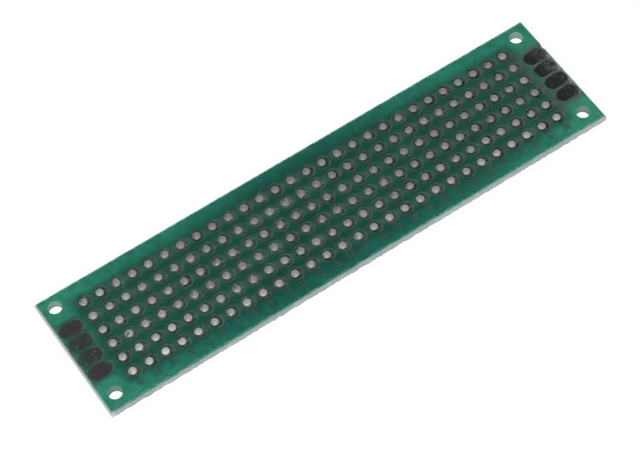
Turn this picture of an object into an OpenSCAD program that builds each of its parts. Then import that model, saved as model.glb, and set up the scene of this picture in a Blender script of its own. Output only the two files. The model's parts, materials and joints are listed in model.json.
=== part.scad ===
/* [Board] */
// Length of the board over its snapped edges
board_l = 80; // [80:0.5:120]
// Width of the board over its snapped edges
board_w = 20; // [20:0.5:40]
// Thickness of the board over its tinned pads
board_t = 1.6; // [1.4:0.1:2.4]

/* [Scored edges] */
// Depth of the groove that was scored round the board from each face
score_depth = 0.5; // [0.3:0.05:0.55]
// Full angle of the scoring blade
score_angle = 45; // [20:5:50]

/* [Hole grid] */
// Number of hole columns along the board
columns = 28; // [4:1:28]
// Number of hole rows across the board
rows = 6; // [4:1:6]
// Spacing of the holes, the same both ways
pitch = 2.54; // [2.5:0.01:2.54]
// Diameter of a finished lead hole, inside its plating
lead_d = 1; // [0.7:0.05:1]
// Thickness of the plating on the wall of a lead hole
plating_t = 0.06; // [0.05:0.01:0.1]
// Radius of the soft edge where the plating turns out of the hole
knee_r = 0.06; // [0.03:0.01:0.08]
// How far all the drilled holes sit off the printed pads, along and across the board
drill_shift = [-0.12, 0.14]; // [-0.15:0.01:0.15]

/* [Round pads] */
// Diameter of the bare tinned face round a lead hole
pad_d = 1.7; // [1.6:0.05:1.9]

/* [End pads] */
// Number of long pads at each short end
end_pads = 4; // [1:1:4]
// Length of a long pad's bare tinned face
end_pad_l = 3.2; // [2.4:0.1:3.2]
// Width of a long pad's bare tinned face
end_pad_w = 2; // [1.4:0.1:2]
// Distance from the short edge to the middle of a long pad
end_pad_inset = 2.2; // [2.1:0.1:2.5]

/* [Layers] */
// Thickness of the copper foil on each face
foil_t = 0.035; // [0.02:0.005:0.07]
// Width of the foil rim that runs in under the solder mask round each pad
foil_rim = 0.2; // [0.1:0.01:0.22]
// Thickness of the solder mask where it lies over the foil rim
mask_over_foil = 0.02; // [0.01:0.005:0.04]
// Height of the tinned faces above the solder mask
tin_proud = 0.04; // [0.01:0.005:0.06]

/* [Mounting holes] */
// Diameter of the four corner holes
mount_d = 2; // [1.6:0.1:2.2]
// Distance from each edge to the middle of a corner hole
mount_inset = 2.2; // [1.8:0.1:2.4]

/* [Hidden] */
$fn = 48;
overcut = 1;
drill_d = lead_d + 2 * plating_t;

// Heights of the layers over the bottom face; the top face has them in mirror image
mask_z = tin_proud;
foil_z = mask_z + mask_over_foil;
core_z = foil_z + foil_t;

ends = ["left", "right"];
faces = ["top", "bottom"];

function two_digits(n) = str(n < 10 ? "0" : "", n);
function holes_name(column) = str("plated_holes_", two_digits(column + 1));
function end_pad_name(end, face, i) = str("end_pad_", ends[end], "_", faces[face], "_", i + 1);

// Places of the holes and pads on the printed artwork, which is centred on the board
function column_x(column) = (column - (columns - 1) / 2) * pitch;
function row_y(row) = ((rows - 1) / 2 - row) * pitch;
function end_pad_x(end) = (end == 0 ? -1 : 1) * (board_l / 2 - end_pad_inset);
function end_pad_y(i) = ((end_pads - 1) / 2 - i) * pitch;

// How far the scored groove stands in from the widest part of the edge at height z
function score_inset(z) =
    tan(score_angle / 2) * max(0, score_depth - min(z - mask_z, board_t - mask_z - z));

// Half of an edge-to-edge section between two heights, mirrored about its middle
module scored_section(half_w, z1, z2) {
    bends = [mask_z + score_depth, board_t - mask_z - score_depth];
    heights = concat(z1, [for (z = bends) if (z > z1 && z < z2) z], z2);
    right = [for (z = heights) [half_w - score_inset(z), z]];
    left = [for (i = [len(right) - 1 : -1 : 0]) [-right[i][0], right[i][1]]];
    polygon(concat(right, left));
}

// A layer of the board between two heights, with the scored groove on all four edges
module scored_layer(z1, z2) {
    intersection() {
        rotate([90, 0, 0])
            linear_extrude(board_w + overcut, center = true)
                scored_section(board_l / 2, z1, z2);
        rotate([90, 0, 90])
            linear_extrude(board_l + overcut, center = true)
                scored_section(board_w / 2, z1, z2);
    }
}

module on_each_face() {
    children();
    translate([0, 0, board_t]) mirror([0, 0, 1]) children();
}

module at_printed_grid() {
    for (column = [0 : columns - 1], row = [0 : rows - 1])
        translate([column_x(column), row_y(row), 0]) children();
}

module at_drilled_grid() {
    translate(drill_shift) at_printed_grid() children();
}

module at_end_pads() {
    for (end = [0, 1], i = [0 : end_pads - 1])
        translate([end_pad_x(end), end_pad_y(i), 0]) children();
}

module at_mounting_holes() {
    translate(drill_shift)
        for (x = [-1, 1], y = [-1, 1])
            translate([x * (board_l / 2 - mount_inset), y * (board_w / 2 - mount_inset), 0])
                children();
}

module stadium(l, w) {
    square([l - w, w], center = true);
    for (x = [-1, 1]) translate([x * (l - w) / 2, 0]) circle(d = w);
}

// Right half of the tin's section, flat on its crown at height 0, rolled over at its rim
module tin_section(half_w) {
    translate([0, tin_proud]) square([half_w, foil_z - tin_proud]);
    square([half_w - tin_proud, foil_z]);
    translate([half_w - tin_proud, tin_proud]) circle(tin_proud, $fn = 24);
}

// Round land of a lead hole on the bottom face: tinned crown and the foil under it
module round_land() {
    rotate_extrude() intersection() {
        tin_section(pad_d / 2);
        square([pad_d, foil_z]);
    }
    translate([0, 0, foil_z]) cylinder(d = pad_d + 2 * foil_rim, h = foil_t);
}

// Long land at a short end, on the bottom face
module long_land() {
    straight = end_pad_l - end_pad_w;
    for (side = [0, 1])
        rotate([0, 0, 180 * side]) translate([straight / 2, 0, 0]) rotate([0, 0, -90])
            rotate_extrude(angle = 180) intersection() {
                tin_section(end_pad_w / 2);
                square([end_pad_w, foil_z]);
            }
    rotate([90, 0, 90]) linear_extrude(straight, center = true) intersection() {
        union() {
            tin_section(end_pad_w / 2);
            mirror([1, 0]) tin_section(end_pad_w / 2);
        }
        translate([-end_pad_w, 0]) square([2 * end_pad_w, foil_z]);
    }
    translate([0, 0, foil_z]) linear_extrude(foil_t)
        stadium(end_pad_l + 2 * foil_rim, end_pad_w + 2 * foil_rim);
}

// The open way through a lead hole, flared by the soft edge at each mouth
module lead_bore() {
    rotate_extrude() {
        square([lead_d / 2, board_t]);
        for (mouth = [0, 1])
            translate([0, mouth * board_t]) mirror([0, mouth]) difference() {
                translate([0, -overcut]) square([lead_d / 2 + knee_r, knee_r + overcut]);
                translate([lead_d / 2 + knee_r, knee_r]) circle(knee_r, $fn = 24);
            }
    }
}

// One plated hole: the wall plating and its two lands, which are one piece of metal
module plated_hole() {
    difference() {
        union() {
            translate([0, 0, core_z]) cylinder(d = drill_d, h = board_t - 2 * core_z);
            on_each_face() translate(-drill_shift) round_land();
        }
        lead_bore();
    }
}

// The glass-fibre and epoxy core, scored, snapped and drilled
module scored_laminate() {
    color("#a9b3a6") difference() {
        scored_layer(core_z, board_t - core_z);
        at_drilled_grid() cylinder(d = drill_d, h = board_t);
        at_mounting_holes() cylinder(d = mount_d, h = board_t);
    }
}

// The solder mask of the bottom face: it fills in round each pad and covers its foil rim
module mask_film() {
    difference() {
        scored_layer(mask_z, core_z);
        at_printed_grid() {
            cylinder(d = pad_d, h = core_z + overcut);
            translate([0, 0, foil_z]) cylinder(d = pad_d + 2 * foil_rim, h = foil_t + overcut);
        }
        at_end_pads() {
            linear_extrude(core_z + overcut) stadium(end_pad_l, end_pad_w);
            translate([0, 0, foil_z]) linear_extrude(foil_t + overcut)
                stadium(end_pad_l + 2 * foil_rim, end_pad_w + 2 * foil_rim);
        }
        at_mounting_holes() cylinder(d = mount_d, h = core_z + overcut);
    }
}

module solder_mask_top() {
    color("#1f6b54") translate([0, 0, board_t]) mirror([0, 0, 1]) mask_film();
}

module solder_mask_bottom() {
    color("#1f6b54") mask_film();
}

// The plated holes of one column, from the first row to the last
module plated_holes(column) {
    color("#8f9490") translate(drill_shift)
        for (row = [0 : rows - 1])
            translate([column_x(column), row_y(row), 0]) plated_hole();
}

module end_pad(end, face, i) {
    color("#3c4041")
        translate([end_pad_x(end), end_pad_y(i), face == 0 ? board_t : 0])
            mirror([0, 0, face == 0 ? 1 : 0]) long_land();
}

solder_mask_top();
solder_mask_bottom();
scored_laminate();
for (column = [0 : columns - 1])
    plated_holes(column);
for (end = [0, 1], face = [0, 1], i = [0 : end_pads - 1])
    end_pad(end, face, i);
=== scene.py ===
import json
import math

import bmesh
import bpy
from mathutils import Matrix, Vector, noise


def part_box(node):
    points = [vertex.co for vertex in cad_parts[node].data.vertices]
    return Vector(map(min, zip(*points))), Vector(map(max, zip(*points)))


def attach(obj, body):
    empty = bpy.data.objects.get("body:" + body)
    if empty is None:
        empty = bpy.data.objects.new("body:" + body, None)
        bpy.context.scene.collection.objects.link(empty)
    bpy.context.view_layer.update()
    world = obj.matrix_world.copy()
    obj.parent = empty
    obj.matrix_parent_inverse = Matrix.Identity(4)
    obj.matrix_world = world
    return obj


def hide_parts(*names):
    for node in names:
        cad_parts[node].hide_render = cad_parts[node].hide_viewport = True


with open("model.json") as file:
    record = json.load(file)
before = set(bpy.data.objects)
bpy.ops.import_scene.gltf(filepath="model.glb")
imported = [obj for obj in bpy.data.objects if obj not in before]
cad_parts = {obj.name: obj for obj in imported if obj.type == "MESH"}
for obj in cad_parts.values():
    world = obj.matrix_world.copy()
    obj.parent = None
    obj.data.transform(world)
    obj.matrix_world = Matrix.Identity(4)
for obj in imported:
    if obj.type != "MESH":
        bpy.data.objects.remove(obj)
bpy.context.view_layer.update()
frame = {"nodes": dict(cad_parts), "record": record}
scene = bpy.context.scene
mm = 0.001


class Wire:
    # a socket that adds and scales like a number and makes further nodes
    def __init__(self, tree, socket=None):
        self.tree = tree
        self.socket = socket

    def node(self, kind, settings=None, inputs=None, output=0):
        made = self.tree.nodes.new(kind)
        for name, value in (settings or {}).items():
            if name == "stops":
                layStops(made.color_ramp, value)
            else:
                setattr(made, name, value)
        for key, value in (inputs or {}).items():
            if isinstance(value, Wire):
                self.tree.links.new(value.socket, made.inputs[key])
            else:
                made.inputs[key].default_value = value
        return Wire(self.tree, made.outputs[output] if len(made.outputs) else None)

    def take(self, output):
        return Wire(self.tree, self.socket.node.outputs[output])

    def maths(self, operation, *parts):
        return self.node("ShaderNodeMath", {"operation": operation}, dict(enumerate(parts)))

    def __add__(self, other):
        return self.maths("ADD", self, other)

    def __radd__(self, other):
        return self.maths("ADD", other, self)

    def __sub__(self, other):
        return self.maths("SUBTRACT", self, other)

    def __rsub__(self, other):
        return self.maths("SUBTRACT", other, self)

    def __mul__(self, other):
        return self.maths("MULTIPLY", self, other)

    def __rmul__(self, other):
        return self.maths("MULTIPLY", other, self)

    def __truediv__(self, other):
        return self.maths("DIVIDE", self, other)

    def __abs__(self):
        return self.maths("ABSOLUTE", self)

    def root(self):
        return self.maths("SQRT", self)

    def floor(self):
        return self.maths("FLOOR", self)

    def fraction(self):
        return self.maths("FRACT", self)

    def larger(self, other):
        return self.maths("MAXIMUM", self, other)

    def smaller(self, other):
        return self.maths("MINIMUM", self, other)

    def __lt__(self, other):
        return self.maths("LESS_THAN", self, other)

    def __gt__(self, other):
        return self.maths("GREATER_THAN", self, other)

    def band(self, low, high):
        # 0 at low and 1 at high, smooth between, and falling where low is the larger
        return self.node(
            "ShaderNodeMapRange",
            {"interpolation_type": "SMOOTHSTEP"},
            {"Value": self, "From Min": low, "From Max": high},
        )

    def blend(self, low, high):
        # a colour between two others, wires or hex codes, with this wire as the factor
        low, high = (paint(colour) if isinstance(colour, str) else colour for colour in (low, high))
        return self.node("ShaderNodeMix", {"data_type": "RGBA"}, {0: self, 6: low, 7: high}, 2)

    def scaled(self, factor):
        # a colour or vector times one number
        return self.node("ShaderNodeVectorMath", {"operation": "SCALE"}, {0: self, "Scale": factor})

    def partwise(self, operation, other):
        # a colour or vector with another, part by part
        return self.node("ShaderNodeVectorMath", {"operation": operation}, {0: self, 1: other})


def layStops(ramp, stops):
    while len(ramp.elements) < len(stops):
        ramp.elements.new(0.5)
    for element, (place, colour) in zip(ramp.elements, stops):
        element.position = place
        element.color = colour


def paint(code):
    # a hex colour as linear values
    parts = [int(code[i : i + 2], 16) / 255 for i in (1, 3, 5)]
    linear = [p / 12.92 if p <= 0.04045 else ((p + 0.055) / 1.055) ** 2.4 for p in parts]
    return (*linear, 1)


# sizes and places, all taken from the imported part, in millimetres
def boxInMm(node):
    low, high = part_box(node)
    return low / mm, high / mm


columnNodes = sorted(name for name in frame["nodes"] if name.startswith("plated_holes_"))
endPadNodes = sorted(name for name in frame["nodes"] if name.startswith("end_pad_"))
coreNode = next(part["node"] for part in frame["record"]["subparts"] if part["material_slot"] == "laminate")
mounts = {mount["name"]: mount for mount in frame["record"]["mounts"]}
coreLow, coreHigh = boxInMm(coreNode)
maskLow, maskHigh = boxInMm("solder_mask_top")
firstLow, firstHigh = boxInMm(columnNodes[0])
lastLow = boxInMm(columnNodes[-1])[0]
padLow, padHigh = boxInMm(endPadNodes[0])

columnCount = len(columnNodes)
foilRadius = (firstHigh.x - firstLow.x) / 2
pitch = (lastLow.x - firstLow.x) / (columnCount - 1)
rowCount = round((firstHigh.y - firstLow.y - 2 * foilRadius) / pitch) + 1
firstPad = Vector((firstLow.x + foilRadius, firstHigh.y - foilRadius))
drillShift = Vector(mounts["lead_hole_back_left"]["pos_m"][:2]) / mm - firstPad
leadRadius = mounts["lead_hole_back_left"]["dims"]["r_mm"]
cornerRadius = mounts["corner_hole_back_left"]["dims"]["r_mm"]
cornerSpots = [
    Vector(mount["pos_m"][:2]) / mm
    for name, mount in mounts.items()
    if name.startswith("corner_hole_")
]
boardTop = firstHigh.z  # over the tinned crowns
boardMiddle = boardTop / 2
endPadX = abs(padLow.x + padHigh.x) / 2
endPadRows = len([name for name in endPadNodes if name.startswith("end_pad_left_top")])
gridHalfX = columnCount * pitch / 2
gridHalfY = rowCount * pitch / 2
endPadsHalfY = endPadRows * pitch / 2


def gridSpots(columns, rows, stepX, stepY):
    return [
        Vector(((c - (columns - 1) / 2) * stepX, (r - (rows - 1) / 2) * stepY))
        for c in range(columns)
        for r in range(rows)
    ]


holeSpots = gridSpots(columnCount, rowCount, pitch, pitch)
endPadSpots = gridSpots(2, endPadRows, 2 * endPadX, pitch)
print("sizes read:", columnCount, "columns and", rowCount, "rows at", round(pitch, 3), "mm")

# camera
cameraView = {
    "azimuth": -28.73,  # degrees round the board from straight in front
    "elevation": 58.11,
    "roll": -5.77,
    "distance": 324.2,  # mm from the point that it looks at
    "aim": (-2, -1.69, 0.8),  # that point, in mm
    "lens": 135,
}


def addCamera():
    azimuth, elevation = (math.radians(cameraView[key]) for key in ("azimuth", "elevation"))
    away = Vector((
        math.sin(azimuth) * math.cos(elevation),
        -math.cos(azimuth) * math.cos(elevation),
        math.sin(elevation),
    ))
    camera = bpy.data.objects.new("camera", bpy.data.cameras.new("camera"))
    camera.data.lens = cameraView["lens"]
    camera.data.clip_start = 0.01
    camera.location = (Vector(cameraView["aim"]) + away * cameraView["distance"]) * mm
    turn = (-away).to_track_quat("-Z", "Y").to_matrix()
    camera.rotation_euler = (turn @ Matrix.Rotation(math.radians(cameraView["roll"]), 3, "Z")).to_euler()
    scene.collection.objects.link(camera)
    scene.camera = camera


addCamera()


# helpers for materials
def openMaterial(name):
    material = bpy.data.materials.new(name)
    material.use_nodes = True
    material.node_tree.nodes.clear()
    return material, Wire(material.node_tree)


def closeMaterial(flow, sockets):
    shader = flow.node("ShaderNodeBsdfPrincipled", None, sockets)
    flow.node("ShaderNodeOutputMaterial", None, {"Surface": shader})


def placeOf(flow):
    # object coordinates in millimetres
    return flow.node("ShaderNodeTexCoord", output="Object").scaled(1 / mm)


def partsOf(place):
    x = place.node("ShaderNodeSeparateXYZ", None, {0: place})
    return x, x.take("Y"), x.take("Z")


def grain(place, size, detail=2.0):
    # soft random clouds of that size in mm, from 0 to 1 and mostly about 0.5
    return place.node("ShaderNodeTexNoise", None, {"Vector": place, "Scale": 1 / size, "Detail": detail})


def holeChance(place, x, y):
    # a random number from 0 to 1 for each cell of the grid, for what differs from hole to hole
    cell = place.node("ShaderNodeCombineXYZ", None, {0: (x / pitch).floor(), 1: (y / pitch).floor()})
    return place.node("ShaderNodeTexWhiteNoise", {"noise_dimensions": "2D"}, {"Vector": cell}, "Value")


def fromMiddle(value):
    # signed distance from the nearest line of pads
    return ((value / pitch).fraction() - 0.5) * pitch


def length(a, b):
    # of the two short sides of a right triangle, the long one
    return (a * a + b * b).root()


def bump(height, distance):
    return height.node("ShaderNodeBump", None, {"Height": height, "Distance": distance * mm})


# floor, world and lamps
lightLook = {
    "world": 0.62,  # strength of the white surroundings
    "key": 0.34,  # what the key lamp adds to a white face that looks at it
    "keyPlace": (-0.30, -0.34, 0.52),
    "fill": 0.10,
    "fillPlace": (0.42, 0.10, 0.45),
    "lampSize": 0.5,
    "shadowShare": 0.2,  # how much of the floor's shade shows
    "gridShade": 0.5,  # how much dimmer the floor is under the grid of holes
    "floorWhite": 1.04,  # 1 is white, and the little more makes up for the shade's share
    "floorGrey": 0.96,  # what the floor is under its glow
    "floorHalf": 1.5,
    "floorGap": 0.00003,  # between the floor and the board
}


def areaLamp(name, place, level):
    lamp = bpy.data.objects.new(name, bpy.data.lights.new(name, "AREA"))
    lamp.data.shape = "DISK"
    lamp.data.size = lightLook["lampSize"]
    spot = Vector(place)
    lamp.data.energy = level * math.pi ** 2 * spot.length_squared
    lamp.location = spot
    lamp.rotation_euler = spot.to_track_quat("Z", "Y").to_euler()
    scene.collection.objects.link(lamp)


def shownTo(flow):
    # 1 for camera, glossy and transmission rays
    path = flow.node("ShaderNodeLightPath", output="Is Camera Ray")
    return path.larger(path.take("Is Glossy Ray")).larger(path.take("Is Transmission Ray"))


def addWorld():
    world = bpy.data.worlds.new("whiteRoom")
    scene.world = world
    world.use_nodes = True
    world.node_tree.nodes.clear()
    flow = Wire(world.node_tree)
    shown = shownTo(flow)
    room = flow.node("ShaderNodeBackground", None, {"Color": (1, 1, 1, 1), "Strength": lightLook["world"]})
    backdrop = flow.node("ShaderNodeBackground", None, {"Color": (1, 1, 1, 1), "Strength": 1})
    mixed = flow.node("ShaderNodeMixShader", None, {0: shown, 1: room, 2: backdrop})
    flow.node("ShaderNodeOutputWorld", None, {"Surface": mixed})


def floorMaterial():
    material, flow = openMaterial("whiteFloor")
    x, y = partsOf(placeOf(flow))[:2]
    # the floor shows plain white under the corner holes and dimmer under the grid of holes
    under = (abs(x) < coreHigh.x) * (abs(y) < coreHigh.y)
    underGrid = (abs(x) < gridHalfX) * (abs(y) < gridHalfY)
    shade = lightLook["shadowShare"]
    factor = shownTo(flow) * (under * shade + (1 - shade)) * (1 - underGrid * lightLook["gridShade"])
    grey = lightLook["floorGrey"]
    lit = flow.node("ShaderNodeBsdfDiffuse", None, {"Color": (grey, grey, grey, 1)})
    glow = flow.node("ShaderNodeEmission", None, {"Color": (1, 1, 1, 1), "Strength": lightLook["floorWhite"]})
    top = flow.node("ShaderNodeMixShader", None, {0: factor, 1: lit, 2: glow})
    clear = flow.node("ShaderNodeBsdfTransparent")
    back = flow.node("ShaderNodeNewGeometry", output="Backfacing")
    both = flow.node("ShaderNodeMixShader", None, {0: back, 1: top, 2: clear})
    flow.node("ShaderNodeOutputMaterial", None, {"Surface": both})
    return material


def addFloor():
    half, height = lightLook["floorHalf"], -lightLook["floorGap"]
    corners = [(-half, -half, height), (half, -half, height), (half, half, height), (-half, half, height)]
    floorMesh = bpy.data.meshes.new("floor")
    floorMesh.from_pydata(corners, [], [(0, 1, 2, 3)])
    floorMesh.materials.append(floorMaterial())
    floor = bpy.data.objects.new("floor", floorMesh)
    scene.collection.objects.link(floor)


areaLamp("keyLamp", lightLook["keyPlace"], lightLook["key"])
areaLamp("fillLamp", lightLook["fillPlace"], lightLook["fill"])
addWorld()
addFloor()
scene.view_settings.view_transform = "Standard"
print("camera, floor and lamps placed")


# pads, in millimetres, which the mask's openings and colours follow
padShape = {
    "bareRadius": 0.85,  # round pads
    "longHalfWidth": 1.0,  # end pads
    "longStraight": 1.2,
    "barrelWall": 0.055,
    "mouthRoll": 0.06,  # the soft edge where the tin turns out of the hole
    "crownDrop": 0.008,  # how much lower the crown is at the hole
    "rimRoll": 0.06,
    "rimDrop": 0.03,
    "clearance": 0.005,  # between the tin and what it stands in
    "foilGap": 0.002,
    "segments": 24,  # round a pad
    "longSegments": 40,
    "longSteps": [(0.05, 0.01), (0.25, 0.002)],  # how far in from the rim, and below the crown
    "longFlat": 0.3,  # half the width of the flat middle
    "longFoot": 0.004,
    "unevenness": 0.05,  # how far the outlines wander
    "longUnevenness": 0.34,
    "unevenScale": 0.9,  # wanders to the millimetre
}

# solder mask
maskLook = {
    # the colours towards the ends and at the tips hold a painted sheen
    "marginEnd": "#277865",
    "marginTip": "#378a71",
    "marginMiddle": "#125046",
    "gridEnd": "#16503e",
    "gridMiddle": "#0f4736",
    "blueCloud": "#10505a",
    "blueShare": 0.22,  # a share says how strongly a colour is laid on, out of 1
    "greenCloud": "#0a6f50",
    "greenShare": 0.35,
    "overFoil": "#2a4941",
    "overFoilRight": "#3c443f",  # round the right-hand end pads
    "overFoilShare": 0.85,
    "foilLine": "#48665c",
    "foilLineRight": "#565f59",
    "betweenRows": "#17392f",
    "betweenShare": 0.6,
    "alongRow": "#425954",
    "alongRowRight": "#595f57",
    "filmLeft": "#2c4442",  # between and round the long pads
    "filmRight": "#4c524d",
    "filmShare": 0.9,
    "smear": "#2d3637",
    "smearShare": 0.6,
    "edgeLeft": "#5f6461",
    "edgeLeftShare": 0.6,
    "edgeRight": "#7f8a84",
    "edgeRightShare": 0.9,
    "inkSmudge": "#284348",
    "smudgeShare": 0.55,
    "inkRow": -8.3,  # mm, where the column numbers stand
    "flake": "#78ad9c",  # where the scoring chipped the mask's rim
    "flakeShare": 0.3,
    "flakeBackShare": 0.45,  # added along the back edge
    "mottle": 0.75,  # how much the green goes lighter and darker in spots
    "mottleWide": 0.5,
    "padShade": 0.11,  # how much darker it is in front of each pad
    "padShadeRight": 0.06,
    "roughness": 0.24,
    "gloss": 0.09,
}


def plainGreen(place, x, y):
    # dark among the holes in the middle, paler on the margins, with a painted sheen towards the ends
    far, wide = abs(x), abs(y)  # how far out a point is, along the board and across it
    # painted sheen: paler towards the ends, the long edges and the front right corner
    endSheen = (far + y * 0.5).band(5, 39) + wide.band(8.0, 9.9) * 0.42
    endSheen = endSheen + x.band(36, 40) * y.band(-4, -8) * 0.3
    margin = endSheen.blend(maskLook["marginMiddle"], maskLook["marginEnd"])
    # and the painted sheen brightest beside the corner holes, least at the back on the right
    tipSheen = far.band(30, 37) * wide.band(4.4, 6.4) * (0.6 - x.band(-1, 1) * y.band(4, 9) * 0.5)
    margin = tipSheen.blend(margin, maskLook["marginTip"])
    grid = endSheen.blend(maskLook["gridMiddle"], maskLook["gridEnd"])
    green = (far.band(37.1, 34.9) * wide.band(8.4, 6.8)).blend(margin, grid)
    blue = grain(place, 3.2, 3).band(0.54, 0.70)
    green = (blue * maskLook["blueShare"]).blend(green, maskLook["blueCloud"])
    bright = grain(place, 1.5, 2).band(0.5, 0.64) * wide.band(7.0, 7.8)
    return (bright * maskLook["greenShare"]).blend(green, maskLook["greenCloud"])


def shadeAndStains(green, place, x, y, amongHoles, alongPad, ring, endReach):
    # painted shade between the rows of holes, dull film round the long pads, then the scuffed short edges
    far, wide, side, rim = abs(x), abs(y), x.band(-1, 1), padShape["bareRadius"]
    # painted shade on the mask between the rows of holes
    betweenRows = amongHoles * abs(alongPad).band(0.75, 0.2) * ring.band(rim + 0.1, rim + 0.3)
    green = (betweenRows * maskLook["betweenShare"]).blend(green, maskLook["betweenRows"])
    patches = grain(place, 1.2, 2)
    atEnds = far.band(35.9, 36.6) * wide.band(5.6, 4.8) * (1 - x.band(-38.7, -39.3) * 0.45)
    atRight = far.band(34.6, 35.7) * wide.band(6.4, 5.2) * side * patches.band(0.35, 0.55) * 0.75
    film = atEnds.larger(atRight) * endReach.band(rim, rim + 0.1)
    film = film * grain(place, 0.8, 3).band(0.12 + side * 0.08, 0.4 + side * 0.05)
    tint = side.blend(maskLook["filmLeft"], maskLook["filmRight"])
    green = (film * maskLook["filmShare"]).blend(green, tint)
    smeared = film * (1 - side) * patches.band(0.48, 0.62)
    green = (smeared * maskLook["smearShare"]).blend(green, maskLook["smear"])
    scuffed = x.band(39.0, 39.5) * abs(y + 0.2).band(5.2, 4.2) * grain(place, 0.7, 3).band(0.3, 0.55)
    green = (scuffed * maskLook["edgeRightShare"]).blend(green, maskLook["edgeRight"])
    scuffed = x.band(-39.2, -39.6) * wide.band(5.6, 4.8) * grain(place, 0.8, 3).band(0.25, 0.55)
    return (scuffed * maskLook["edgeLeftShare"]).blend(green, maskLook["edgeLeft"])


def smudgesAndFlakes(green, place, x, y, z, alongPad):
    # smudged ink round the numbers, and chips along the scored rim
    far = abs(x)
    smudge = abs(alongPad).band(0.8, 0.3) * abs(y - maskLook["inkRow"]).band(0.8, 0.35) * z.band(0.7, 0.9)
    smudge = smudge * far.band(35.6, 35.2) * grain(place, 0.7, 2).band(0.36, 0.6)
    green = (smudge * maskLook["smudgeShare"]).blend(green, maskLook["inkSmudge"])
    fromRim = (maskHigh.x - far).smaller(maskHigh.y - abs(y))
    atBack = y.band(-8, 8) * far.band(39.4, 39.0)
    flakes = (fromRim - atBack * 0.03).band(0.24, 0.12)
    flakes = flakes * (grain(place, 0.5, 2) + atBack * 0.05).band(0.46, 0.56)
    share = maskLook["flakeShare"] + atBack * maskLook["flakeBackShare"]
    return (flakes * share).blend(green, maskLook["flake"])


def solderMaskMaterial():
    material, flow = openMaterial("greenSolderMask")
    place = placeOf(flow)
    x, y, z = partsOf(place)
    far, wide = abs(x), abs(y)

    # how far out from the middle of its pad each point lies, on the grid and at the ends
    outOfReach = 9
    alongPad, acrossPad = fromMiddle(x), fromMiddle(y)
    amongHoles = (far < gridHalfX) * (wide < gridHalfY)
    amongEndPads = (far > gridHalfX) * (wide < endPadsHalfY)
    reach = length(alongPad, acrossPad)
    # the side of a pad that looks along the board also carries the strongest painted highlight on the foil's
    # rim
    faceOn = (alongPad / (reach + 0.01)).band(-0.6, 0.7)  # the side of a pad that looks along the board
    reach = reach + (1 - amongHoles) * outOfReach
    straight = (abs(far - endPadX) - padShape["longStraight"] / 2).larger(0)
    outward = padShape["longHalfWidth"] - padShape["bareRadius"]
    endReach = length(straight, acrossPad) - outward + (1 - amongEndPads) * outOfReach
    ring = reach.smaller(endReach) + (grain(place, 0.45, 3) - 0.5) * 0.2
    rim = padShape["bareRadius"]

    green = plainGreen(place, x, y)
    green = shadeAndStains(green, place, x, y, amongHoles, alongPad, ring, endReach)

    # the foil's rim under the mask, the bridges along each row, and a painted highlight on the line where the
    # rim ends
    rightEnd = x.band(35, 36.5)
    overFoil = ring.band(rim + 0.34, rim + 0.1)
    tint = rightEnd.blend(maskLook["overFoil"], maskLook["overFoilRight"])
    green = (overFoil * maskLook["overFoilShare"]).blend(green, tint)
    patchy = grain(place, 0.75, 2)
    alongRow = amongHoles * abs(acrossPad).band(0.95, 0.25) * abs(alongPad).band(0.8, 1.05)
    alongRow = alongRow * (0.2 + patchy.band(0.3, 0.6) * 0.35)
    tint = x.band(18, 33).blend(maskLook["alongRow"], maskLook["alongRowRight"])
    green = alongRow.blend(green, tint)
    # painted highlight on the mask's step where the foil's rim ends
    line = ring.band(rim + 0.04, rim + 0.16) * ring.band(rim + 0.38, rim + 0.2)
    line = line * (0.35 + patchy.band(0.36, 0.62) * 0.65).larger(amongEndPads)
    line = line * (1 - amongEndPads * far.band(37.2, 38.6) * 0.8)
    tint = rightEnd.blend(maskLook["foilLine"], maskLook["foilLineRight"])
    green = (line * (0.3 + faceOn * 0.6)).blend(green, tint)

    green = smudgesAndFlakes(green, place, x, y, z, alongPad)
    mottle = grain(place, 0.9, 4) - 0.5
    shade = 1 + mottle * maskLook["mottle"] + (grain(place, 4.5, 2) - 0.5) * maskLook["mottleWide"]
    padShade = maskLook["padShade"] + x.band(-10, 10) * maskLook["padShadeRight"]
    shade = shade - overFoil * amongHoles * acrossPad.band(-0.4, -0.8) * padShade
    closeMaterial(flow, {
        "Base Color": green.scaled(shade),
        "Roughness": maskLook["roughness"] + mottle * 0.12,
        "Specular IOR Level": maskLook["gloss"],
        "Normal": bump(grain(place, 0.35, 3), 0.006),
    })
    return material


# glass-fibre core, seen at the edges and in the corner holes
coreLook = {
    "face": "#a0acac",
    "pale": "#c2cccd",
    "dark": "#84908e",
    "darkShare": 0.6,
    "stain": "#aca3a6",
    "stainShare": 0.5,
    "groove": "#729e97",
    "torn": "#7d8583",
    "tornShare": 0.3,
    "lilac": "#b8a9b4",
    "mint": "#95b8af",
    "lip": "#2f7964",  # mask drawn down over the lip of the groove
    "drilled": "#a4cabd",  # the walls of the corner holes
    "drilledFront": "#90b5aa",
    "drilledDeep": 0.7,  # mm in from the edges, where they begin
    # painted light on the left end, which faces the key lamp
    "leftEnd": "#dfe4e2",
    "leftEndTop": "#bac2bf",
    "leftEndShare": 0.75,
    "layerFlat": (0.5, 0.5, 5.0),  # squeezes the grain into thin layers
    "roughness": 0.62,
}


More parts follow.
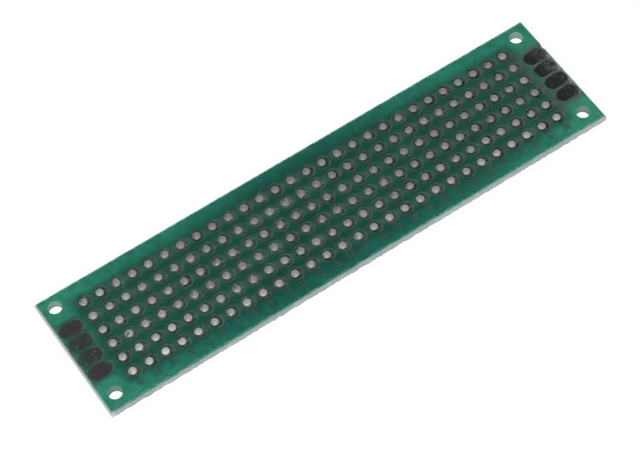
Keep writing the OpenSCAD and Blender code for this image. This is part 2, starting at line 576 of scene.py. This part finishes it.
def fibreMaterial():
    material, flow = openMaterial("glassFibre")
    place = placeOf(flow)
    x, y, z = partsOf(place)

    # layers of glass cloth, with dark threads and stains
    layered = place.partwise("MULTIPLY", coreLook["layerFlat"])
    layers = grain(layered, 0.9, 4)
    colour = layers.band(0.40, 0.62).blend(coreLook["face"], coreLook["pale"])
    threads = grain(layered, 0.5, 3).band(0.62, 0.74)
    colour = (threads * coreLook["darkShare"]).blend(colour, coreLook["dark"])
    stained = grain(place, 1.7, 3).band(0.5, 0.6) * z.band(1.15, 0.85)
    colour = (stained * coreLook["stainShare"]).blend(colour, coreLook["stain"])
    colour = (x.band(33, 38) * 0.5).blend(colour, coreLook["pale"])

    # the scored grooves, the torn web between them, and a faint tint either way
    fromWeb = abs(z - boardMiddle)
    groove = fromWeb.band(0.26, 0.34) * (0.35 + grain(place, 1.1, 3).band(0.4, 0.62) * 0.5)
    colour = groove.blend(colour, coreLook["groove"])
    colour = (z.band(0.65, 0.5) * 0.4).blend(colour, coreLook["pale"])
    torn = grain(place, 0.4, 3).band(0.48, 0.6) * z.band(0.75, 0.5)
    colour = (torn * coreLook["tornShare"]).blend(colour, coreLook["torn"])
    tint, high = grain(place, 0.8, 3), z.band(0.8, 1.4)
    colour = (tint.band(0.52, 0.62) * (0.48 - high * 0.23)).blend(colour, coreLook["lilac"])
    colour = (tint.band(0.49, 0.39) * (0.5 + high * 0.3)).blend(colour, coreLook["mint"])
    fromWeb = fromWeb + x.band(10, -30) * 0.09 - x.band(15, 35) * 0.02  # more of the lip is green on the left
    drawn = fromWeb.band(0.5, 0.66) * (0.45 + grain(place, 0.9, 3).band(0.35, 0.6) * 0.5)
    colour = drawn.blend(colour, coreLook["lip"])

    # the corner holes' walls, and painted light on the left end
    deep, front = coreLook["drilledDeep"], y.band(5, -5)
    inside = (abs(x) < coreHigh.x - deep) * (abs(y) < coreHigh.y - deep)
    wall = front.blend(coreLook["drilled"], coreLook["drilledFront"])
    colour = (inside * (0.8 + front * 0.1)).blend(colour, wall)
    # painted light on the left end, palest low down
    litLeftWall = z.band(1.35, 0.5).blend(coreLook["leftEndTop"], coreLook["leftEnd"])
    colour = (x.band(-39.2, -39.6) * coreLook["leftEndShare"]).blend(colour, litLeftWall)
    closeMaterial(flow, {
        "Base Color": colour,
        "Roughness": coreLook["roughness"] + (layers - 0.5) * 0.2,
        "Specular IOR Level": 0.3,
        "Normal": bump(layers, 0.03),
    })
    return material


# tin of the holes and their crowns
tinLook = {
    "barrel": "#a9aba9",
    "barrelWarm": "#aca8a7",
    "barrelCool": "#a5aba8",
    "warmShare": 0.7,  # how many holes have some of the warmer tint
    "frontLift": 0.2,  # painted light: how much lighter the front row's barrels are, and below, those on the left and the right
    "leftLift": 0.22,
    "rightLift": 0.05,
    "insideLift": 1.355,  # painted light: how much lighter a barrel is than its mouth, which has painted shade where the tin rolls over
    "crown": "#323a38",
    "crownPale": "#575e5b",
    "crownWarm": "#4d4544",
    "crownPit": "#15191a",
    "crownFront": 0.35,  # painted highlight: how much paler the front of each crown is, next to the hole
    "crownShade": 0.35,  # and how much darker out at its rim
    "crownGreen": (1.1, 1.25, 1.2),  # scales the crowns' colour
    "greenShare": 0.45,  # how much of that every crown has, while the left ones have all of it
    "liningRadius": 0.562,  # the bright lining is the barrel's tin, carried a little forward of the hole onto the crown as a painted highlight
    "liningSoft": 0.012,
    "liningForward": 0.055,
    "liningRight": 0.012,
    "liningNarrow": 1.03,
    "roughness": 0.34,
    "barrelRoughness": 0.7,
}


def barrelColour(x, y, z, wall, chance, back):
    # each hole has its own tint and brightness, with painted light on the barrels towards the front, the left
    # and the right and low inside, and painted shade at the mouth, most at the back
    warm = chance.band(tinLook["warmShare"], 0)
    tint = warm.blend(tinLook["barrelCool"], tinLook["barrelWarm"])
    barrel = (wall.band(0.35, 0.65) * 0.4).blend(tint, tinLook["barrel"])
    # painted light: lighter towards the front, the left and the right, and low in the barrel
    lift = 1 + y.band(-1.5, -6.0) * tinLook["frontLift"] + x.band(-14, -36) * tinLook["leftLift"]
    lift = lift + x.band(18, 34) * tinLook["rightLift"]
    lift = lift * (0.78 + wall * 0.36 + (chance * 7).fraction() * 0.1) * (0.9 + z.band(1.5, 0.4) * 0.32)
    # painted shade where the tin rolls over at the mouth, most at the back
    mouth = abs(z - boardMiddle).band(boardMiddle - 0.09, boardMiddle - 0.03)
    return barrel.scaled(lift * (tinLook["insideLift"] - mouth * (0.5 + back.band(0.2, 0.4) * 0.3)))


def crownColour(place, x, chance, right, back):
    # clouded and pitted, each crown a little different, with a painted highlight in front of its hole
    crown = grain(place, 0.3, 3).band(0.42, 0.68).blend(tinLook["crown"], tinLook["crownPale"])
    crown = (grain(place, 0.9, 2).band(0.48, 0.62) * 0.5).blend(crown, tinLook["crownWarm"])
    pits = grain(place, 0.45, 3).band(0.5, 0.6) * (0.45 + x.band(-10, 30) * 0.4)
    crown = pits.blend(crown, tinLook["crownPit"])
    light = (0.7 + (chance * 13).fraction() * 0.6) * (1 - x.band(-5, 20) * 0.2)
    fromHole, front, rightHalf = length(right, back), back.band(-0.5, -0.7), x.band(-10, 10)
    # painted highlight on the front of each crown, next to the hole
    light = light * (1 + front * fromHole.band(0.84, 0.72) * tinLook["crownFront"] * (1 - rightHalf * 0.2))
    light = light * (1 - front * fromHole.band(0.74, 0.86) * (tinLook["crownShade"] - rightHalf * 0.1))
    crown = crown.scaled(light)
    greener = crown.partwise("MULTIPLY", tinLook["crownGreen"])
    share = tinLook["greenShare"] + x.band(6, -14) * (1 - tinLook["greenShare"])
    return share.blend(crown, greener)


def holeTinMaterial():
    material, flow = openMaterial("tinnedHole")
    place = placeOf(flow)
    x, y, z = partsOf(place)
    chance, wall = holeChance(place, x, y), grain(place, 0.28, 3)
    right, back = fromMiddle(x - drillShift.x), fromMiddle(y - drillShift.y)
    radius, soft = tinLook["liningRadius"], tinLook["liningSoft"]
    across = (right - tinLook["liningRight"]) * tinLook["liningNarrow"]
    fromLining = length(across, back + tinLook["liningForward"]) + (grain(place, 0.2) - 0.5) * 0.05
    # the barrel's own tin, and a painted highlight where it reaches forward onto the crown
    liningAndHighlight = fromLining.band(radius + soft, radius - soft)
    crown = crownColour(place, x, chance, right, back)
    barrel = barrelColour(x, y, z, wall, chance, back)
    rougher = tinLook["barrelRoughness"] - tinLook["roughness"]
    closeMaterial(flow, {
        "Base Color": liningAndHighlight.blend(crown, barrel),
        "Metallic": 1.0,
        "Roughness": tinLook["roughness"] + (wall - 0.5) * 0.2 + liningAndHighlight * rougher,
        "Normal": bump(grain(place, 0.16, 2), 0.012),
    })
    return material


# tin of the end pads
padLook = {
    "left": "#37373a",
    "leftMiddle": "#323c39",
    "middleShare": 0.7,
    "right": "#202525",
    "cloud": "#4a4846",
    "cloudShare": 0.6,
    "rubbed": "#585c55",  # the outer ends on the right, most on the second pad
    "rubbedShare": 0.9,
    "rubbedBack": "#4d4a52",
    "rubbedBackShare": 0.35,
    "rust": "#4c3538",
    "rustShare": 0.5,
    "greenEnd": "#31594b",  # the outer ends on the left
    "greenEndShare": 0.6,
    # painted glints on the middle pads on the left
    "mark": "#7f8583",
    "markShare": 0.6,
    "markStretch": (0.5, 1.4, 1),
    "roughness": 0.36,
}


def padTinMaterial():
    material, flow = openMaterial("tarnishedTin")
    place = placeOf(flow)
    x, y = partsOf(place)[:2]
    side, wide = x.band(-1, 1), abs(y)
    clouds = grain(place, 0.45, 3)
    colour = side.blend(padLook["left"], padLook["right"])
    middlePads = (1 - side) * wide.band(2.7, 2.4) * grain(place, 1.4, 2).band(0.35, 0.55)
    colour = (middlePads * padLook["middleShare"]).blend(colour, padLook["leftMiddle"])
    share = padLook["cloudShare"] - side * 0.3
    colour = (clouds.band(0.5, 0.72) * share).blend(colour, padLook["cloud"])

    # worn and stained outer ends
    rubbed = x.band(37.4, 38.8) * (0.25 + abs(y - pitch / 2).band(1.1, 0.8) * 0.75)
    rubbed = rubbed * grain(place, 0.5, 4).band(0.40, 0.68)
    colour = (rubbed * padLook["rubbedShare"]).blend(colour, padLook["rubbed"])
    rubbedBack = side * y.band(2.4, 2.9) * x.band(37.2, 38.4) * clouds.band(0.3, 0.55)
    colour = (rubbedBack * padLook["rubbedBackShare"]).blend(colour, padLook["rubbedBack"])
    rustyEnds = y.band(3.6, 4.1) * side * x.band(38.2, 37.4) + y.band(-4.0, -4.5) * x.band(-38.0, -38.6)
    rust = grain(place, 0.7, 2).band(0.4, 0.6) * rustyEnds
    colour = (rust * padLook["rustShare"]).blend(colour, padLook["rust"])
    greenEnds = x.band(-38.3, -39.1) * abs(y + 0.6).band(2.6, 2.0) * grain(place, 0.8, 3).band(0.4, 0.58)
    colour = (greenEnds * padLook["greenEndShare"]).blend(colour, padLook["greenEnd"])

    # painted glints on the two middle pads on the left
    glints = grain(place.partwise("MULTIPLY", padLook["markStretch"]), 0.5, 2).band(0.66, 0.73)
    glints = glints * (1 - side) * wide.band(2.6, 2.2)
    colour = (glints * padLook["markShare"]).blend(colour, padLook["mark"])
    closeMaterial(flow, {
        "Base Color": colour,
        "Metallic": 1.0,
        "Roughness": padLook["roughness"] + (clouds - 0.5) * 0.3,
        "Normal": bump(grain(place, 0.2, 3), 0.014),
    })
    return material


# specks of tin on the crowns' rims
beadLook = {"dull": "#6f7672", "bright": "#b9beb8", "roughness": 0.3}


def beadMaterial():
    material, flow = openMaterial("brightBead")
    place = placeOf(flow)
    light = grain(place, 0.3, 1).band(0.4, 0.6)
    closeMaterial(flow, {
        "Base Color": light.blend(beadLook["dull"], beadLook["bright"]),
        "Metallic": 1.0,
        "Roughness": beadLook["roughness"] + grain(place, 0.2) * 0.1,
    })
    return material


# ink of the numbers, most faded on the right
inkLook = {"fresh": "#3a4443", "faded": "#2b5549", "fadedRight": 0.8, "roughness": 0.4, "gloss": 0.22}


def inkMaterial():
    material, flow = openMaterial("fadedInk")
    place = placeOf(flow)
    x = partsOf(place)[0]
    worn = grain(place, 0.25, 3).band(0.35, 0.7).larger(x.band(0, 34) * inkLook["fadedRight"])
    closeMaterial(flow, {
        "Base Color": worn.blend(inkLook["fresh"], inkLook["faded"]),
        "Roughness": inkLook["roughness"] + worn * 0.1,
        "Specular IOR Level": inkLook["gloss"],
    })
    return material


solderMask = solderMaskMaterial()
fibre = fibreMaterial()
holeTin = holeTinMaterial()
padTin = padTinMaterial()
bead = beadMaterial()
ink = inkMaterial()
print("materials made")


# helpers for shapes
def ringPoints(centre, radius, count):
    points = []
    for i in range(count):
        angle = 2 * math.pi * i / count
        points.append(Vector((
            centre[0] + radius * math.cos(angle),
            centre[1] + radius * math.sin(angle),
        )))
    return points


def longPoints(centre, radius):
    # the outline of a long pad, an oval with two straight sides along X
    count, points = padShape["longSegments"], []
    for i in range(count):
        angle = 2 * math.pi * (i + 0.5) / count
        side = 1 if math.cos(angle) > 0 else -1
        points.append(Vector((
            centre[0] + side * padShape["longStraight"] / 2 + radius * math.cos(angle),
            centre[1] + radius * math.sin(angle),
        )))
    return points


def skin(form, rings, closed=False):
    # joins rings of points into a wall, and returns the rings' vertices
    made = [[form.verts.new(point) for point in ring] for ring in rings]
    pairs = list(zip(made, made[1:])) + ([(made[-1], made[0])] if closed else [])
    for low, high in pairs:
        for i in range(len(low)):
            j = (i + 1) % len(low)
            form.faces.new((low[i], low[j], high[j], high[i]))
    return made


def atHeight(points, z):
    return [Vector((*point, z)) for point in points]


def loopEdges(form, loop):
    return [form.edges.get((loop[i], loop[(i + 1) % len(loop)])) for i in range(len(loop))]


def soften(piece, angle):
    # smooth shading, apart from edges that turn more than that many degrees
    piece.data.shade_smooth()
    piece.data.set_sharp_from_angle(angle=math.radians(angle))


def formToObject(form, name, material=None, smoothUnder=35):
    # makes a piece of a form that was built in millimetres
    bmesh.ops.recalc_face_normals(form, faces=form.faces)
    mesh = bpy.data.meshes.new(name)
    form.to_mesh(mesh)
    form.free()
    mesh.transform(Matrix.Scale(mm, 4))
    if material:
        mesh.materials.append(material)
    piece = bpy.data.objects.new(name, mesh)
    scene.collection.objects.link(piece)
    soften(piece, smoothUnder)
    return piece


def settle(piece, slot, *nodes):
    # the piece rides on the board and stands for these nodes
    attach(piece, "root")
    if nodes:
        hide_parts(*nodes)


# board edges: scored from both faces, then snapped
edgeShape = {
    "scoreDepth": 0.5,  # mm below the solder mask's face
    "step": 0.3,  # mm between points along the edges
    "grooveSteps": 4,
    "webSteps": 5,
    "cornerSegments": 48,  # round a corner hole
    "snapRoughness": 0.045,  # mm, of the snapped web
    "cutRoughness": 0.014,  # of the scored grooves
    "slack": 0.01,  # a height this near the bend counts as on it
    "chipMiddle": 4.55,  # the chip's place along the right-hand edge
    "chipHalf": 0.5,
    "chipDepth": 0.2,
    "webMissing": 0.13,  # what is broken off the web behind the chip
    "tornShare": 0.34,  # how far torn fibres fill the lower groove, on average
    "tornMost": 0.85,
}
belowCrown = boardTop - maskHigh.z  # how far the mask's face is below the tinned crowns
scoreSlope = (coreHigh.x - maskHigh.x) / (edgeShape["scoreDepth"] - maskHigh.z + maskLow.z)


def edgeStations():
    # places round the outline: unit coordinates and the way out
    corners = [(-1, -1), (1, -1), (1, 1), (-1, 1)]
    outward = [(0, -1), (1, 0), (0, 1), (-1, 0)]
    places = []
    for i in range(4):
        start, end = Vector(corners[i]), Vector(corners[(i + 1) % 4])
        side = 2 * (coreHigh.x if i % 2 == 0 else coreHigh.y)
        count = round(side / edgeShape["step"])
        places.append((start, Vector(outward[i]) + Vector(outward[i - 1])))
        places += [(start.lerp(end, k / count), Vector(outward[i])) for k in range(1, count)]
    return places


def rough(x, y, scale, depth):
    # fixed noise from -1 to 1 along the edge, the same at every run
    return noise.noise(Vector((x * scale, y * scale, depth)))


def lostFromEdge(x, y, z):
    # how far the real edge stands in from the clean one, in mm
    fromBend = min(z, boardTop - z) - belowCrown - edgeShape["scoreDepth"]
    onRight = x > coreHigh.x - 1
    cut = edgeShape["cutRoughness"] * (1 + rough(x, y, 1.7, 3))
    if fromBend > edgeShape["slack"]:
        coarse, fine = rough(x, y, 0.9, z * 2), rough(x, y, 3.1, z * 7 + 20)
        cut = edgeShape["snapRoughness"] * max(0, 0.9 + coarse + 0.7 * fine)
    if onRight and y > edgeShape["chipMiddle"]:
        cut += edgeShape["webMissing"] * (fromBend > -edgeShape["slack"])
    if onRight and z > boardMiddle:
        near = max(0, 1 - ((y - edgeShape["chipMiddle"]) / edgeShape["chipHalf"]) ** 2)
        cut += edgeShape["chipDepth"] * near * (0.75 + 0.25 * rough(y, z, 5, 1))
    return cut


def tornFill(x, y, z):
    # the share of the lower groove that fibres torn at the snap hang over
    if z < coreLow.z - 0.001 or z > boardMiddle:
        return 0
    coarse, fine = rough(x, y, 0.8, 40), rough(x, y, 2.6, z * 2 + 50)
    return min(edgeShape["tornMost"], max(0, edgeShape["tornShare"] + 0.5 * coarse + 0.6 * fine))


stations = edgeStations()


def outlineAt(z):
    # the board's edge at that height, all the way round
    depth = min(z, boardTop - z) - belowCrown
    bevel = scoreSlope * max(0, edgeShape["scoreDepth"] - depth)
    ring = []
    for unit, out in stations:
        inward = bevel * (1 - tornFill(unit.x * coreHigh.x, unit.y * coreHigh.y, z))
        x, y = unit.x * (coreHigh.x - inward), unit.y * (coreHigh.y - inward)
        lost = lostFromEdge(x, y, z)
        ring.append(Vector((x - out.x * lost, y - out.y * lost, z)))
    return ring


def holedPlate(name, heights, holes, material):
    # a layer of the board, from the first height to the last, with holes through it
    form = bmesh.new()
    outer = skin(form, [outlineAt(z) for z in heights])
    inner = [skin(form, [atHeight(hole, z) for z in (heights[0], heights[-1])]) for hole in holes]
    for end in (0, -1):
        edges = loopEdges(form, outer[end])
        for walls in inner:
            edges += loopEdges(form, walls[end])
        bmesh.ops.triangle_fill(form, use_beauty=True, edges=edges, normal=(0, 0, 1))
    return formToObject(form, name, material, 28)


def addCore():
    bend = belowCrown + edgeShape["scoreDepth"]
    grooveSteps, webSteps = edgeShape["grooveSteps"], edgeShape["webSteps"]
    groove = [coreLow.z + (bend - coreLow.z) * k / grooveSteps for k in range(grooveSteps)]
    web = [bend + (boardTop - 2 * bend) * k / webSteps for k in range(webSteps + 1)]
    heights = [*groove, *web, boardTop - (coreLow.z + bend) / 2, coreHigh.z]
    radius = leadRadius + padShape["barrelWall"] + padShape["clearance"]
    drilled = [ringPoints(spot + drillShift, radius, padShape["segments"]) for spot in holeSpots]
    settle(holedPlate("boardCore", heights, drilled + cornerHoles, fibre), "laminate", coreNode)


def addMasks():
    holes = [ringPoints(spot, padShape["bareRadius"], padShape["segments"]) for spot in holeSpots]
    holes += [longPoints(spot, padShape["longHalfWidth"]) for spot in endPadSpots]
    holes += cornerHoles
    top = holedPlate("maskTop", [maskLow.z, maskHigh.z], holes, solderMask)
    bottom = holedPlate("maskBottom", [belowCrown, boardTop - maskLow.z], holes, solderMask)
    settle(top, "solder_mask", "solder_mask_top")
    settle(bottom, "solder_mask", "solder_mask_bottom")


cornerHoles = [ringPoints(spot, cornerRadius, edgeShape["cornerSegments"]) for spot in cornerSpots]
addCore()
addMasks()
print("core and solder mask made")


# geometry nodes: a shape repeated on a grid, a little uneven from place to place
gridInputs = {
    "Piece": "Geometry",
    "Columns": "Int",
    "Rows": "Int",
    "Step X": "Float",
    "Step Y": "Float",
    "Material": "Material",
}


def openTree(name, inputs):
    tree = bpy.data.node_groups.new(name, "GeometryNodeTree")
    for label, kind in inputs.items():
        tree.interface.new_socket(label, in_out="INPUT", socket_type="NodeSocket" + kind)
    tree.interface.new_socket("Geometry", in_out="OUTPUT", socket_type="NodeSocketGeometry")
    flow = Wire(tree)
    first = flow.node("NodeGroupInput")
    return tree, flow, {label: first.take(label) for label in inputs}


def onGridPoints(flow, given, shape):
    # real copies of the shape on the points of the grid
    points = flow.node("GeometryNodeMeshGrid", None, {
        "Size X": (given["Columns"] - 1) * given["Step X"],
        "Size Y": (given["Rows"] - 1) * given["Step Y"],
        "Vertices X": given["Columns"],
        "Vertices Y": given["Rows"],
    })
    copies = flow.node("GeometryNodeInstanceOnPoints", None, {"Points": points, "Instance": shape})
    return flow.node("GeometryNodeRealizeInstances", None, {0: copies})


def closeTree(flow, given, shape):
    shape = flow.node("GeometryNodeRealizeInstances", None, {0: shape})
    shape = flow.node("GeometryNodeSetMaterial", None, {"Geometry": shape, "Material": given["Material"]})
    flow.node("NodeGroupOutput", None, {0: shape})


def repeatTree():
    tree, flow, given = openTree("repeatOnGrid", {**gridInputs, "Unevenness": "Float", "Seed": "Float"})
    copies = onGridPoints(flow, given, given["Piece"])
    where = flow.node("GeometryNodeInputPosition")
    cloud = flow.node("ShaderNodeTexNoise", {"noise_dimensions": "4D"}, {
        "Vector": where,
        "W": given["Seed"],
        "Scale": padShape["unevenScale"] / mm,
        "Detail": 1.0,
    }, 1)
    wander = given["Unevenness"] * 2
    sideways = flow.node("ShaderNodeCombineXYZ", None, {0: wander, 1: wander})
    push = cloud.partwise("SUBTRACT", (0.5, 0.5, 0.5)).partwise("MULTIPLY", sideways)
    copies = flow.node("GeometryNodeSetPosition", None, {"Geometry": copies, "Offset": push})
    closeTree(flow, given, copies)
    return tree


# specks of tin left on the crowns' rims
beadShape = {
    "radius": 0.055,
    "flatness": 0.35,
    "smallest": 0.35,  # of the full size
    "places": 18,  # round each rim
    "share": 0.10,  # of the places that have a speck
    "jitter": 0.05,
    "inset": 0.03,  # from the edge of the crown
}


def beadTree():
    extra = {"Radius": "Float", "Height": "Float", "Share": "Float", "Jitter": "Float", "Seed": "Int"}
    tree, flow, given = openTree("beadsOnRims", {**gridInputs, **extra})
    seed, jitter = given["Seed"], given["Jitter"]
    circle = flow.node("GeometryNodeMeshCircle", None, {
        "Vertices": beadShape["places"],
        "Radius": given["Radius"],
    })
    rims = onGridPoints(flow, given, circle)
    lift = flow.node("ShaderNodeCombineXYZ", None, {2: given["Height"]})
    spread = flow.node("ShaderNodeCombineXYZ", None, {0: jitter, 1: jitter})
    loose = flow.node("FunctionNodeRandomValue", {"data_type": "FLOAT_VECTOR"}, {
        0: (-1, -1, 0),
        1: (1, 1, 0),
        8: seed,
    })
    rims = flow.node("GeometryNodeSetPosition", None, {
        "Geometry": rims,
        "Offset": lift.partwise("ADD", loose.partwise("MULTIPLY", spread)),
    })
    chosen = flow.node("FunctionNodeRandomValue", {"data_type": "BOOLEAN"}, {
        6: given["Share"],
        8: seed + 1,
    }, 3)
    size = flow.node("FunctionNodeRandomValue", {"data_type": "FLOAT"}, {
        2: beadShape["smallest"],
        3: 1.0,
        8: seed + 2,
    }, 1)
    beads = flow.node("GeometryNodeInstanceOnPoints", None, {
        "Points": rims,
        "Selection": chosen,
        "Instance": given["Piece"],
        "Scale": size,
    })
    closeTree(flow, given, beads)
    return tree


def grow(piece, tree, values):
    # runs the tree on the piece and keeps the result as a plain mesh
    modifier = piece.modifiers.new(tree.name, "NODES")
    modifier.node_group = tree
    for socket in tree.interface.items_tree:
        if socket.in_out == "INPUT" and socket.name in values:
            modifier[socket.identifier] = values[socket.name]
    bpy.context.view_layer.update()
    shown = piece.evaluated_get(bpy.context.evaluated_depsgraph_get())
    mesh = bpy.data.meshes.new_from_object(shown)
    piece.modifiers.clear()
    piece.data = mesh


repeated = repeatTree()
onRims = beadTree()
holeGrid = {"Columns": columnCount, "Rows": rowCount, "Step X": pitch * mm, "Step Y": pitch * mm}
endGrid = {"Columns": 2, "Rows": endPadRows, "Step X": 2 * endPadX * mm, "Step Y": pitch * mm}
holeLayout = {**holeGrid, "Unevenness": padShape["unevenness"] * mm, "Seed": 4.0}
endLayout = {**endGrid, "Unevenness": padShape["longUnevenness"] * mm, "Seed": 9.0}
bottomMirror = Matrix.Translation((0, 0, boardTop)) @ Matrix.Scale(-1, 4, Vector((0, 0, 1)))


def roundRing(radius, z, middle=(0, 0)):
    return [Vector((*point, z)) for point in ringPoints(middle, radius, padShape["segments"])]


def longRing(radius, z):
    return [Vector((*point, z)) for point in longPoints((0, 0), radius)]


def addTinnedHoles():
    # one closed profile: from the mouth of the hole over the crown and back down the barrel
    bare, top = padShape["bareRadius"] - padShape["clearance"], boardTop
    mouth, outside = leadRadius + padShape["mouthRoll"], leadRadius + padShape["barrelWall"]
    upper = [
        (leadRadius, top - padShape["mouthRoll"], drillShift),
        (mouth, top - padShape["crownDrop"], drillShift),
        (bare - padShape["rimRoll"], top, (0, 0)),
        (bare, top - padShape["rimDrop"], (0, 0)),
        (outside, coreHigh.z + padShape["foilGap"], drillShift),
    ]
    lower = [(radius, top - z, middle) for radius, z, middle in reversed(upper)]
    form = bmesh.new()
    skin(form, [roundRing(*point) for point in upper + lower], closed=True)
    piece = formToObject(form, "tinnedHoles")
    grow(piece, repeated, {**holeLayout, "Material": holeTin})
    soften(piece, 40)
    settle(piece, "hole_plating", *columnNodes)


def addLongPads():
    # each is a low cushion of tin on both faces
    half, top = padShape["longHalfWidth"] - padShape["clearance"], boardTop
    profile = [(half, maskLow.z + padShape["longFoot"]), (half, top - padShape["rimDrop"])]
    profile += [(half - inset, top - drop) for inset, drop in padShape["longSteps"]]
    profile.append((padShape["longFlat"], top))
    form = bmesh.new()
    for mirror in (Matrix.Identity(4), bottomMirror):
        made = skin(form, [[mirror @ point for point in longRing(radius, z)] for radius, z in profile])
        form.faces.new(made[0])
        form.faces.new(made[-1])
    piece = formToObject(form, "longPads")
    grow(piece, repeated, {**endLayout, "Material": padTin})
    soften(piece, 40)
    settle(piece, "pad_tin", *endPadNodes)


# where the solder mask climbs over the foil round each pad
lipShape = {
    "height": 0.018,
    "width": 0.22,
    "gap": 0.002,  # from the pad's opening
    "sunk": 0.012,  # how far its foot goes into the mask
    "steep": 0.015,  # width of its inner side
    "soft": 0.07,  # and of its outer side
    "fall": 0.004,  # how much lower the crest is there
}


def lipProfile(opening):
    inner = opening + lipShape["gap"]
    foot, crest = maskHigh.z - lipShape["sunk"], maskHigh.z + lipShape["height"]
    return [
        (inner, foot),
        (inner + lipShape["steep"], crest),
        (inner + lipShape["width"] - lipShape["soft"], crest - lipShape["fall"]),
        (inner + lipShape["width"], foot),
    ]


def addLips(name, rings, layout, mirror):
    form = bmesh.new()
    skin(form, rings, closed=True)
    form.transform(mirror)
    piece = formToObject(form, name)
    grow(piece, repeated, {**layout, "Material": solderMask})
    soften(piece, 50)
    settle(piece, "solder_mask")


def addBeads(name, height, seed):
    form = bmesh.new()
    bmesh.ops.create_icosphere(form, subdivisions=1, radius=beadShape["radius"])
    form.transform(Matrix.Scale(beadShape["flatness"], 4, Vector((0, 0, 1))))
    piece = formToObject(form, name)
    grow(piece, onRims, {
        **holeGrid,
        "Radius": (padShape["bareRadius"] - beadShape["inset"]) * mm,
        "Height": height * mm,
        "Share": beadShape["share"],
        "Jitter": beadShape["jitter"] * mm,
        "Seed": seed,
        "Material": bead,
    })
    soften(piece, 80)
    settle(piece, "hole_plating")


addTinnedHoles()
addLongPads()
roundLip = [roundRing(*point) for point in lipProfile(padShape["bareRadius"])]
longLip = [longRing(*point) for point in lipProfile(padShape["longHalfWidth"])]
addLips("lipsTop", roundLip, holeLayout, Matrix.Identity(4))
addLips("lipsBottom", roundLip, holeLayout, bottomMirror)
addLips("longLipsTop", longLip, endLayout, Matrix.Identity(4))
addLips("longLipsBottom", longLip, endLayout, bottomMirror)
beadLift = boardTop - beadShape["radius"] * beadShape["flatness"]  # their tops are level with the crowns
addBeads("beadsTop", beadLift, 3)
addBeads("beadsBottom", boardTop - beadLift, 11)
print("tinned holes, long pads, lips and beads made")

# plain column numbers, 1 at the left end
numberLook = {
    "size": 1.3,
    "boldness": 0.012,
    "thickness": 0.006,
    "weld": 0.0002,  # points nearer than this become one
}


def addNumbers():
    form = bmesh.new()
    height = maskHigh.z + numberLook["thickness"] / 2
    for column in range(columnCount):
        words = bpy.data.curves.new("number", "FONT")
        words.body = str(column + 1)
        words.size = numberLook["size"]
        words.align_x = "CENTER"
        words.align_y = "CENTER"
        words.extrude = numberLook["thickness"] / 2
        words.offset = numberLook["boldness"]
        holder = bpy.data.objects.new("number", words)
        scene.collection.objects.link(holder)
        bpy.context.view_layer.update()
        mesh = bpy.data.meshes.new_from_object(holder.evaluated_get(bpy.context.evaluated_depsgraph_get()))
        x = (column - (columnCount - 1) / 2) * pitch
        mesh.transform(Matrix.Translation((x, maskLook["inkRow"], height)))
        form.from_mesh(mesh)
        bpy.data.objects.remove(holder)
        bpy.data.meshes.remove(mesh)
    bmesh.ops.remove_doubles(form, verts=form.verts, dist=numberLook["weld"])
    piece = formToObject(form, "columnNumbers", ink, 30)
    settle(piece, "solder_mask")


addNumbers()
print("numbers made")
